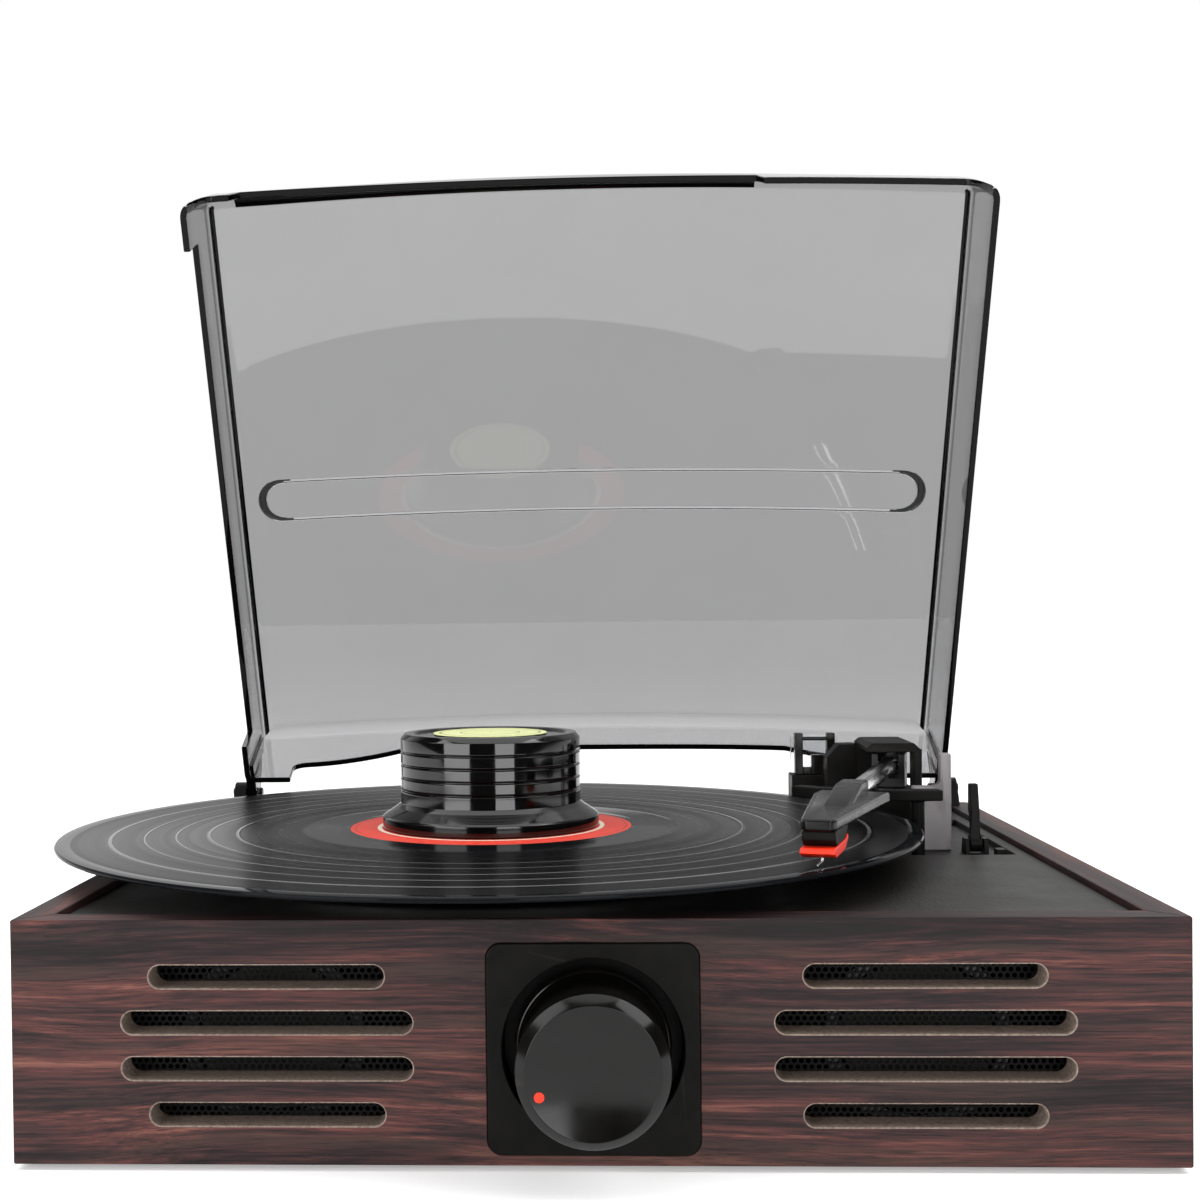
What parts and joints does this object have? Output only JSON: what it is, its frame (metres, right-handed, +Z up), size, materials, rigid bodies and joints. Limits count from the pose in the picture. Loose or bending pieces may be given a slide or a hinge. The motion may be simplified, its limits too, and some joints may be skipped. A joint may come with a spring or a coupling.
{
  "type": "turntable record player",
  "caption": "Belt-driven record player: slotted wooden plinth with built-in speakers, round front knob, pivoted tonearm, record with weight, and smoked hinged lid.",
  "frame": {"origin": "on the surface that the feet stand on, under the middle of the whole object's footprint with the lid standing open", "axes": "+X to the right as seen from the front (towards the tonearm), +Y to the back (towards the lid hinge), +Z up"},
  "size_m": [0.3516, 0.3317, 0.3322],
  "materials": {
    "rosewood": "dark red-brown laminate, satin",
    "fibreboard": "raw, matte",
    "rubber": "matte",
    "grained_black": "pebble-grained",
    "satin_black": "satin",
    "gloss_black": "gloss",
    "steel": "bright",
    "dark_paper": "pressed paper",
    "brass": "turned",
    "pressed_metal": "cast, satin",
    "felt": "felt",
    "vinyl": "grooved, gloss",
    "label_paper": "printed paper, plain",
    "weight_black": "black, polished",
    "pale_disc": "satin",
    "bright_tube": "polished",
    "counterweight_black": "satin",
    "red_plastic": "satin",
    "grey_plastic": "satin",
    "clear_plastic": "clear",
    "smoked_acrylic": "smoked, clear, gloss",
    "circuit_board": "circuit board"
  },
  "bodies": {
    "plinth": {"front_panel": "rosewood", "rear_panel": "rosewood", "left_panel": "rosewood", "right_panel": "rosewood", "base_board": "fibreboard", "foot_front_left": "rubber", "foot_front_right": "rubber", "foot_rear_left": "rubber", "foot_rear_right": "rubber", "deck_plate": "grained_black", "control_plate": "satin_black", "volume_pot": "steel", "grille_left": "satin_black", "grille_right": "satin_black", "speaker_basket_left": "steel", "speaker_basket_right": "steel", "speaker_cone_left": "dark_paper", "speaker_cone_right": "dark_paper", "speaker_magnet_left": "steel", "speaker_magnet_right": "steel", "motor": "steel", "drive_belt": "rubber", "platter_bearing": "brass", "arm_base": "satin_black", "arm_tower": "satin_black", "lever_mount": "satin_black", "arm_rest": "grey_plastic", "stand_base": "satin_black", "stand_fork": "satin_black", "stand_window": "clear_plastic", "hinge_bracket_left": "satin_black", "hinge_bracket_right": "satin_black", "hinge_pin_left": "steel", "hinge_pin_right": "steel", "amplifier_board": "circuit_board", "jack_plate": "satin_black", "phono_jacks": "brass", "power_inlet": "satin_black"},
    "lid": {"lid_shell": "smoked_acrylic"},
    "turning_platter": {"platter": "pressed_metal", "spindle": "steel", "slip_mat": "felt", "record": "vinyl", "record_label": "label_paper"},
    "pulley": {"motor_pulley": "brass"},
    "weight": {"record_weight": "weight_black", "weight_disc": "pale_disc"},
    "yoke": {"arm_yoke": "steel"},
    "tonearm": {"arm_pin": "steel", "arm_tube": "bright_tube", "arm_counterweight": "counterweight_black", "headshell": "gloss_black", "cartridge": "satin_black", "stylus_holder": "red_plastic", "stylus": "steel"},
    "lever": {"cue_lever": "satin_black"},
    "lift_bar": {"cue_lift_bar": "grey_plastic"},
    "selector": {"speed_selector": "satin_black"},
    "knob": {"volume_knob": "gloss_black", "volume_shaft": "steel"}
  },
  "joints": [
    {"name": "lid_hinge", "type": "hinge", "parent": "plinth", "child": "lid", "pos_m": [0.01075, 0.1301, 0.078], "axis": [-1, 0, 0], "range_deg": [-65.5, 8]},
    {"name": "platter_spin", "type": "hinge", "parent": "plinth", "child": "turning_platter", "pos_m": [-0.02525, -0.0124, 0.078], "axis": [0, 0, -1], "continuous": true},
    {"name": "pulley_spin", "type": "hinge", "parent": "plinth", "child": "pulley", "pos_m": [-0.08465, -0.0718, 0.072], "axis": [0, 0, -1], "continuous": true},
    {"name": "weight_lift", "type": "slide", "parent": "turning_platter", "child": "weight", "axis": [0, 0, 1], "range_m": [0, 0.03]},
    {"name": "arm_swing", "type": "hinge", "parent": "plinth", "child": "yoke", "pos_m": [0.12925, 0.0626, 0.0945], "axis": [0, 0, -1], "range_deg": [-23.4, 29.5]},
    {"name": "arm_lift", "type": "hinge", "parent": "yoke", "child": "tonearm", "pos_m": [0.12925, 0.0626, 0.0945], "axis": [-0.9593, 0.2823, 0], "range_deg": [0, 5]},
    {"name": "cue_lever_tilt", "type": "hinge", "parent": "plinth", "child": "lever", "pos_m": [0.15075, 0.0096, 0.0702], "axis": [-1, 0, 0], "range_deg": [0, 40.1]},
    {"name": "cue_bar_rise", "type": "slide", "parent": "plinth", "child": "lift_bar", "axis": [0, 0, 1], "range_m": [0, 0.005]},
    {"name": "speed_slide", "type": "slide", "parent": "plinth", "child": "selector", "axis": [0, 1, 0], "range_m": [0, 0.006]},
    {"name": "volume_turn", "type": "hinge", "parent": "plinth", "child": "knob", "pos_m": [0.01075, -0.15, 0.0343], "axis": [0, 1, 0], "range_deg": [0, 300]}
  ],
  "couplings": [
    {"joint": "pulley_spin", "follows": "platter_spin", "ratio": 13.54},
    {"joint": "cue_lever_tilt", "follows": "arm_lift", "ratio": 8},
    {"joint": "cue_bar_rise", "follows": "arm_lift", "m_per_rad": 0.0572}
  ]
}
